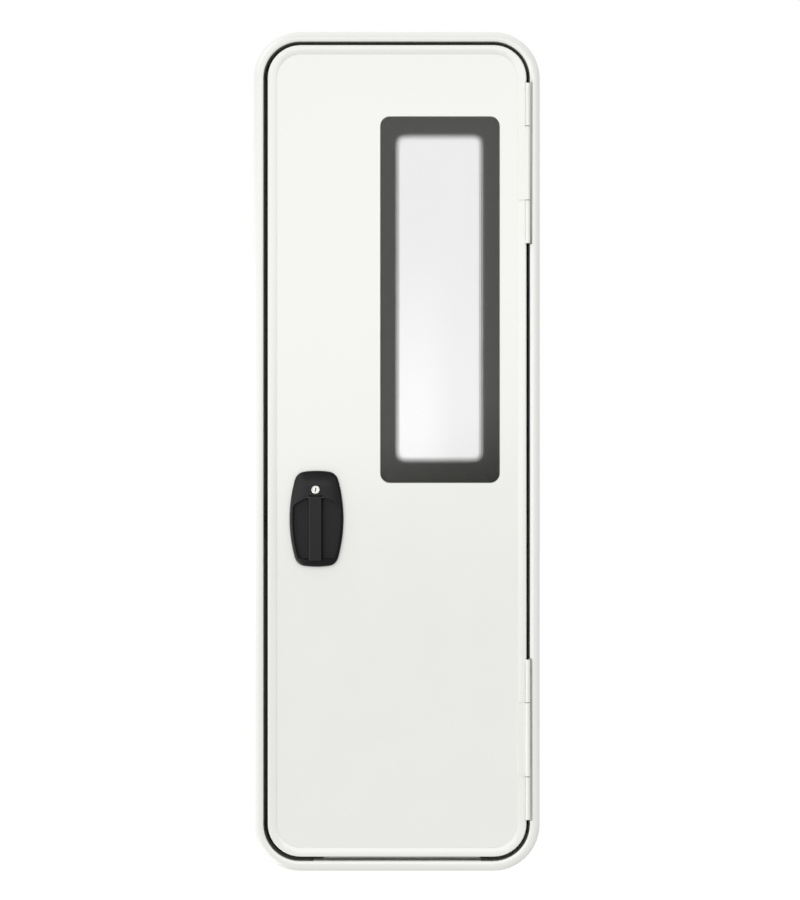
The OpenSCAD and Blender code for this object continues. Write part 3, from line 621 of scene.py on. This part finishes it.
class MouldHandle(Operator):
    """Moulds the handle's cover, with its crowned face, rolled rim and finger recess"""

    bl_idname = "entry_door.mould_handle"
    bl_label = "Handle cover"

    def execute(self, context):
        sizes = context.scene.handle_cover
        low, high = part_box("handle_plate")
        grip_low, grip_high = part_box("pull_grip")
        lock_low, lock_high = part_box("lock_barrel")
        centre_x, _, centre_z = middle("handle_plate")
        half_w, half_h = (high.x - low.x) / 2, (high.z - low.z) / 2
        face, tub_back = low.y, high.y
        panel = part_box("outer_skin")[0].y
        floor = tub_back - 2 * MM
        # radii of the outline's long sides and ends; flat is a radius too large to tell from a line
        side, end, flat = 310 * MM, 190 * MM, 2.0
        # the recess's arched top, its height and its straight foot, from the cover's middle
        arch, arch_top, foot = 75 * MM, 46.5 * MM, 86.5 * MM
        # the corners' rounding, the rim's roll, the crown's rise and run, and the recess's wall
        outer_corner, mouth_corner = 24 * MM, 12 * MM
        edge, crown, crown_reach, tub = 7 * MM, 3.5 * MM, 22 * MM, 2 * MM
        shoulder = face + crown
        outer = [
            Corner((half_w - side, 0, side), (0, up * (half_h - end), end), outer_corner, up)
            for up in (1, -1)]
        inner_side = (half_w - side, 0, side - sizes.rim)
        mouth = [
            Corner(inner_side, (0, arch_top - arch, arch), mouth_corner, 1),
            Corner(inner_side, (0, flat - foot, flat), mouth_corner, -1),
        ]

        def cover_height(x, z):
            """The y of the cover's rolled rim and crowned face, from the cover's middle."""
            inside = max(inset_of(outer, x, z), 0.0)
            if inside < edge:
                return shoulder + edge - math.sqrt(edge**2 - (edge - inside) ** 2)
            t = min((inside - edge) / crown_reach, 1)
            return shoulder - crown * (1 - (1 - t) ** 2)

        count = sizes.segments
        angles = [2 * math.pi * i / count for i in range(count)]
        bm = bmesh.new()
        ring = bmesh.ops.create_circle(bm, cap_ends=False, segments=count, radius=1)["verts"]
        ring.sort(key=lambda v: math.atan2(v.co.y, v.co.x) % (2 * math.pi))
        edges = list(bm.edges)

        def ring_points(outline, inset, height=None):
            """The points of one ring; where height is a number they lie on that level."""
            points = []
            for angle in angles:
                r = reach(outline, angle, inset)
                x, z = r * math.cos(angle), r * math.sin(angle)
                points.append((x, z, cover_height(x, z) if height is None else height))
            return points

        def lay(points):
            """Moves the newest ring to its points."""
            for vertex, (x, z, y) in zip(ring, points):
                vertex.co = (centre_x + x, y, centre_z + z)

        def next_ring(points):
            """Extrudes the newest ring's edges, and lays the new ring."""
            nonlocal ring, edges
            made = bmesh.ops.extrude_edge_only(bm, edges=edges)["geom"]
            edges = [g for g in made if isinstance(g, bmesh.types.BMEdge)]
            fresh = {g for g in made if isinstance(g, bmesh.types.BMVert)}
            edges = [e for e in edges if e.verts[0] in fresh and e.verts[1] in fresh]
            ring = [next(e.other_vert(v) for e in v.link_edges if e.other_vert(v) in fresh) for v in ring]
            lay(points)

        lay(ring_points(mouth, sizes.fillet - tub, tub_back))
        bmesh.ops.contextual_create(bm, geom=edges)
        next_ring(ring_points(mouth, 0.5 * MM - tub, tub_back - sizes.fillet))
        next_ring(ring_points(mouth, -tub, panel))
        next_ring(ring_points(outer, 0.0, panel))
        rolled = [depth * MM for depth in (0.0, 0.12, 0.5, 1.1, 1.9, 2.9, 4.2, 5.6, 6.9)]
        for depth in rolled:
            next_ring(ring_points(outer, depth))
        rim_in = [reach(outer, angle, rolled[-1]) for angle in angles]
        lip_out = [reach(mouth, angle, -sizes.lip) for angle in angles]
        for share in (0.15, 0.35, 0.55, 0.75, 0.9):
            points = []
            for angle, start, stop in zip(angles, rim_in, lip_out):
                r = start + (min(stop, start - 0.01 * MM) - start) * share
                x, z = r * math.cos(angle), r * math.sin(angle)
                points.append((x, z, cover_height(x, z)))
            next_ring(points)
        for share in (1.0, 0.7, 0.4, 0.15, 0.0):
            points = []
            drop = sizes.lip * (1 - math.sqrt(1 - (1 - share) ** 2))
            for angle, start in zip(angles, rim_in):
                r = min(reach(mouth, angle, -sizes.lip * share), start - 0.02 * MM)
                x, z = r * math.cos(angle), r * math.sin(angle)
                points.append((x, z, cover_height(x, z) + drop))
            next_ring(points)
        rim_heights = [v.co.y for v in ring]
        taper = 0.3 * MM
        for share in (0.3, 0.6, 1.0):
            points = ring_points(mouth, taper * share)
            next_ring([
                (x, z, height + (floor - sizes.fillet - height) * share)
                for (x, z, y), height in zip(points, rim_heights)])
        for turn in (22.5, 45, 67.5, 90):
            sweep = math.radians(turn)
            next_ring(ring_points(mouth, taper + sizes.fillet * (1 - math.cos(sweep)),
                                  floor - sizes.fillet * (1 - math.sin(sweep))))
        next_ring(ring_points(mouth, taper + sizes.fillet + 8 * MM, floor))
        bmesh.ops.contextual_create(bm, geom=edges)
        bmesh.ops.recalc_face_normals(bm, faces=bm.faces)

        gap = 0.8 * MM
        notch = bmesh.new()
        add_box(notch, (grip_low.x - gap, face - 5 * MM, grip_low.z - gap),
                (grip_high.x + gap, grip_high.y + gap, grip_high.z + gap))
        groove = bmesh.new()
        add_disc(groove, middle("lock_barrel"), (lock_high.x - lock_low.x) / 2 + 0.7 * MM,
                 2 * (panel - lock_low.y), 64)
        bm = cut_from(bm, [notch, groove])
        cover = place_piece(bm, "handle_cover", "leaf", "black_plastic", angle=35)
        weigh = cover.modifiers.new("even shading", "WEIGHTED_NORMAL")
        weigh.keep_sharp = True
        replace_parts(cover, "handle_plate")
        return {"FINISHED"}


class PaintKeywayShade(Operator):
    """Sets a dark blackened-steel insert in the stepped shape of the keyway, flush with the lock plug's
    face, as painted shade standing in for the shade inside the keyway
    """

    bl_idname = "entry_door.cut_keyway"
    bl_label = "Keyway"

    def execute(self, context):
        low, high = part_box("lock_plug")
        centre = (low + high) / 2
        # painted shade: two offset dark boxes, just proud of the plug's face, stand in for the shade inside
        # the stepped keyway
        bm = bmesh.new()
        for across, up, width, height in ((0.55, 1.9, 2.3, 4.4), (-0.55, -1.9, 2.3, 4.4)):
            add_box(bm, (centre.x + (across - width / 2) * MM, low.y - 0.02 * MM,
                         centre.z + (up - height / 2) * MM),
                    (centre.x + (across + width / 2) * MM, low.y + 1.5 * MM,
                     centre.z + (up + height / 2) * MM))
        upright = [e for e in bm.edges if abs((e.verts[0].co - e.verts[1].co).y) > 1 * MM]
        bmesh.ops.bevel(bm, geom=upright, offset=0.9 * MM, segments=3, affect="EDGES", profile=0.5,
                        material=-1)
        place_piece(bm, "keyway_painted_shade", "plug", "black_steel")
        return {"FINISHED"}


class FitScrews(Operator):
    """Fits cross-head screws in the frame, both latch plates, the hinges and the inner handle"""

    bl_idname = "entry_door.fit_screws"
    bl_label = "Screws"

    def execute(self, context):
        sizes = context.scene.door_fixings
        radius, height = sizes.head / 2, sizes.head * 0.17
        head = bmesh.new()
        profile = [(0, 1), (0.45, 0.96), (0.75, 0.78), (0.93, 0.45), (1, 0)]
        points = [head.verts.new((radius * a, 0, height * b)) for a, b in profile]
        line = [head.edges.new(pair) for pair in zip(points, points[1:])]
        bmesh.ops.spin(head, geom=points + line, cent=(0, 0, 0), axis=(0, 0, 1), angle=2 * math.pi,
                       steps=sizes.facets, use_merge=True, use_duplicate=False)
        bmesh.ops.remove_doubles(head, verts=head.verts, dist=0.001 * MM)
        rim = [e for e in head.edges if e.is_boundary]
        bmesh.ops.contextual_create(head, geom=rim)
        bmesh.ops.recalc_face_normals(head, faces=head.faces)
        cross = []
        for width, depth in ((0.52, 0.13), (0.13, 0.52)):
            cross.append(bmesh.new())
            add_box(cross[-1], (-radius * width, -radius * depth, height * 0.35),
                    (radius * width, radius * depth, height * 1.2))
        head = cut_from(head, cross)

        low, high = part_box("frame_reveal")
        web, depth = 2.5 * MM, 14 * MM
        up, across = 350 * MM, 195 * MM
        centre_z = middle("frame_reveal").z
        frame_screws = [((low.x + web, depth, centre_z + z), "X") for z in (-up, up)]
        frame_screws += [((high.x - web, depth, centre_z + z), "-X") for z in (-up, up)]
        frame_screws += [((x, depth, low.z + web), "Z") for x in (-across, across)]
        frame_screws += [((x, depth, high.z - web), "-Z") for x in (-across, across)]

        # the clamp frame's screws, along its middle and clear of its corners
        low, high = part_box("inner_clamp_frame")
        clear, inset = 125 * MM, 14.5 * MM
        run_x, run_z = (high.x - low.x) / 2 - clear, (high.z - low.z) / 2 - clear
        line_x, line_z = (high.x - low.x) / 2 - inset, (high.z - low.z) / 2 - inset
        centre_z = middle("inner_clamp_frame").z
        upright, level = lambda s, t: (s * line_x, t), lambda s, t: (t, s * line_z)
        for run, place in ((run_z, upright), (run_x, level)):
            steps = max(round(2 * run / sizes.frame_spacing), 1)
            for i in range(steps + 1):
                for sign in (-1, 1):
                    x, z = place(sign, -run + 2 * run * i / steps)
                    frame_screws.append(((x, high.y - 0.1 * MM, centre_z + z), "Y"))

        deep, handle_z = 7.8 * MM, middle("striker_plate").z
        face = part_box("striker_plate")[1].x
        striker_screws = [((face, deep, handle_z + z), "X") for z in (-31 * MM, 31 * MM)]
        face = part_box("latch_faceplate")[0].x
        face_screws = [((face, deep, handle_z + z), "-X") for z in (-37 * MM, 37 * MM)]

        hinge_screws = []
        knuckle = 91.5 * MM
        for which in ("upper", "lower"):
            low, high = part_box(which + "_hinge_frame_wing")
            for start in (low.z, high.z - knuckle):
                for share in (0.2, 0.8):
                    hinge_screws.append(((high.x - 2.5 * MM, 7 * MM, start + share * knuckle), "-X"))

        low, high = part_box("inner_handle_plate")
        handle_screws = [((middle("inner_handle_plate").x, high.y, z), "Y")
                         for z in (low.z + 14 * MM, high.z - 14 * MM)]

        turns = {
            "X": Matrix.Rotation(math.pi / 2, 4, "Y"), "-X": Matrix.Rotation(-math.pi / 2, 4, "Y"),
            "Y": Matrix.Rotation(-math.pi / 2, 4, "X"),
            "Z": Matrix.Identity(4), "-Z": Matrix.Rotation(math.pi, 4, "X"),
        }
        groups = [
            ("frame_screws", "frame", frame_screws, "steel", 1.0),
            ("striker_screws", "frame", striker_screws, "black_steel", 0.85),
            ("hinge_screws", "frame", hinge_screws, "steel", 0.85),
            ("faceplate_screws", "leaf", face_screws, "black_steel", 0.85),
            ("inner_handle_screws", "leaf", handle_screws, "steel", 0.85),
        ]
        for name, body, places, slot, size in groups:
            fits = [
                Matrix.Translation(place) @ turns[facing]
                @ Matrix.Rotation(math.radians(37 * i), 4, "Z") @ Matrix.Scale(size, 4)
                for i, (place, facing) in enumerate(places)]
            place_piece(stamp(head, fits), name, body, slot)
        head.free()
        return {"FINISHED"}


class SetStage(Operator):
    """Sets the pale floor, the soft lights and the camera"""

    bl_idname = "entry_door.set_stage"
    bl_label = "Studio"

    def execute(self, context):
        studio = context.scene.door_studio
        scene = context.scene
        scene.view_settings.view_transform = "Standard"
        scene.view_settings.look = "None"

        bm = bmesh.new()
        bmesh.ops.create_circle(bm, cap_ends=True, segments=64, radius=14)
        mesh = bpy.data.meshes.new("studio_floor")
        bm.to_mesh(mesh)
        bm.free()
        floor = bpy.data.objects.new("studio_floor", mesh)
        scene.collection.objects.link(floor)
        material, tree, _ = begin_material("Studio floor, white painted board")
        board = add_node(tree, "ShaderNodeBsdfDiffuse", {"Color": linear("#80807E")})
        white = add_node(tree, "ShaderNodeEmission", {"Color": (1, 1, 1, 1), "Strength": 0.87})
        lit = add_node(tree, "ShaderNodeAddShader", {0: board.outputs[0], 1: white.outputs[0]})
        add_node(tree, "ShaderNodeOutputMaterial", {"Surface": lit.outputs[0]})
        mesh.materials.append(material)
        floor.visible_diffuse = False
        floor.visible_glossy = False

        world = bpy.data.worlds.new("studio_room")
        scene.world = world
        world.use_nodes = True
        world.cycles.sampling_method = "NONE"
        tree = world.node_tree
        tree.nodes.clear()
        way = add_node(tree, "ShaderNodeTexCoord").outputs["Generated"]
        split = add_node(tree, "ShaderNodeSeparateXYZ", {"Vector": way})
        x, y, z = [split.outputs[name] for name in "XYZ"]
        aside = add_node(tree, "ShaderNodeMath", {0: x}, operation="ABSOLUTE").outputs[0]
        tilted = add_node(tree, "ShaderNodeMath", {0: aside, 1: 0.2, 2: z},
                          operation="MULTIPLY_ADD").outputs[0]
        # glossy faces mirror a bright room behind the camera: a slanted step where it meets the floor,
        # dark past the right-hand side and overhead, and brightest at the far left
        step_top = add_node(tree, "ShaderNodeMapRange", {
            "Value": x, "From Min": -0.12, "From Max": 1.0, "To Min": -0.037, "To Max": 0.433})
        step_low = add_node(tree, "ShaderNodeMapRange", {
            "Value": x, "From Min": -0.55, "From Max": -0.15, "To Min": 0.5, "To Max": 0.13})
        factors = [
            add_node(tree, "ShaderNodeMapRange", {
                "Value": x, "From Min": 0.22, "From Max": 0.98, "To Min": 1.0, "To Max": 0.08},
                interpolation_type="SMOOTHSTEP"),
            add_node(tree, "ShaderNodeMapRange", {
                "Value": tilted, "From Min": 0.17, "From Max": 0.36, "To Min": 1.0, "To Max": 0.08},
                interpolation_type="SMOOTHSTEP"),
            add_node(tree, "ShaderNodeMapRange", {
                "Value": x, "From Min": -1.0, "From Max": -0.74, "To Min": 2.2, "To Max": 1.0}),
            add_node(tree, "ShaderNodeMapRange", {
                "Value": z, "From Min": -0.043, "From Max": step_top.outputs["Result"],
                "To Min": step_low.outputs["Result"], "To Max": 1.0}, interpolation_type="SMOOTHSTEP"),
        ]
        mirrored = studio.mirrored
        for factor in factors:
            mirrored = add_node(tree, "ShaderNodeMath", {0: factor.outputs["Result"], 1: mirrored},
                                operation="MULTIPLY").outputs[0]
        # a low window to the left, which the handle's rim mirrors
        window = add_node(tree, "ShaderNodeVectorMath", {0: way, 1: (-0.6, -0.35, -0.72)},
                          operation="DOT_PRODUCT")
        low_window = add_node(tree, "ShaderNodeMapRange", {
            "Value": window.outputs["Value"], "From Min": 0.91, "From Max": 0.985, "To Min": 0.0,
            "To Max": 3.0}, interpolation_type="SMOOTHSTEP")
        mirrored = add_node(tree, "ShaderNodeMath", {0: low_window.outputs["Result"], 1: mirrored})
        # the soft light that falls on everything, a little stronger from above and from the left
        overhead = add_node(tree, "ShaderNodeMapRange", {
            "Value": z, "From Min": 0.0, "From Max": 1.0, "To Min": 0.93, "To Max": 1.35})
        sideways = add_node(tree, "ShaderNodeMapRange", {
            "Value": x, "From Min": -1.0, "From Max": 1.0, "To Min": 1.2 * studio.room,
            "To Max": 0.8 * studio.room})
        room = add_node(tree, "ShaderNodeMath", {
            0: overhead.outputs["Result"], 1: sideways.outputs["Result"]}, operation="MULTIPLY")
        ray = add_node(tree, "ShaderNodeLightPath")
        strength = add_node(tree, "ShaderNodeMix", {
            0: ray.outputs["Is Glossy Ray"], 2: room.outputs[0], 3: mirrored.outputs[0]})
        direct = add_node(tree, "ShaderNodeMath", {
            0: ray.outputs["Is Camera Ray"], 1: ray.outputs["Is Transmission Ray"]}, operation="MAXIMUM")
        strength = add_node(tree, "ShaderNodeMix", {0: direct.outputs[0], 2: strength.outputs[0], 3: 1.0})
        glow = add_node(tree, "ShaderNodeBackground", {
            "Color": (1, 1, 1, 1), "Strength": strength.outputs[0]})
        add_node(tree, "ShaderNodeOutputWorld", {"Surface": glow.outputs[0]})

        light = bpy.data.lights.new("upper_left_softbox", "SUN")
        light.angle = math.radians(35)
        light.energy = studio.key
        lamp = bpy.data.objects.new("upper_left_softbox", light)
        scene.collection.objects.link(lamp)
        aim = Vector((0.75, 1.0, -0.75))
        lamp.location = (-3, -4, 4)
        lamp.rotation_euler = aim.to_track_quat("-Z", "Y").to_euler()

        # the photograph's frame: half its height at the door, and the point in its middle
        half_height, middle_x, middle_z = 0.9663, 0.0072, 0.9029
        camera = bpy.data.cameras.new("camera")
        camera.sensor_fit = "VERTICAL"
        camera.sensor_height = 24
        camera.lens = camera.sensor_height / 2 / (half_height / studio.distance)
        camera.clip_end = 100
        eye = bpy.data.objects.new("camera", camera)
        scene.collection.objects.link(eye)
        eye.location = (middle_x, -studio.distance, middle_z)
        eye.rotation_euler = (math.radians(90), 0, 0)
        scene.camera = eye
        return {"FINISHED"}


STEPS = [DressNodes, DotWindow, MouldHandle, PaintKeywayShade, FitScrews, SetStage]


class DoorPanel(Panel):
    """Lists the steps that dress the door"""

    bl_idname = "VIEW3D_PT_entry_door"
    bl_label = "Caravan entry door"
    bl_space_type = "VIEW_3D"
    bl_region_type = "UI"
    bl_category = "Entry door"

    def draw(self, context):
        for group, kind in GROUPS.items():
            box = self.layout.box()
            for name in kind.__annotations__:
                box.prop(getattr(context.scene, group), name)
        for step in STEPS:
            self.layout.operator(step.bl_idname)


def register():
    for kind in [*GROUPS.values(), *STEPS, DoorPanel]:
        bpy.utils.register_class(kind)
    for name, kind in GROUPS.items():
        setattr(bpy.types.Scene, name, PointerProperty(type=kind))


def unregister():
    for name in GROUPS:
        delattr(bpy.types.Scene, name)
    for kind in reversed([*GROUPS.values(), *STEPS, DoorPanel]):
        bpy.utils.unregister_class(kind)


def main():
    register()
    for step in STEPS:
        group, name = step.bl_idname.split(".")
        getattr(getattr(bpy.ops, group), name)()


if __name__ == "__main__":
    main()
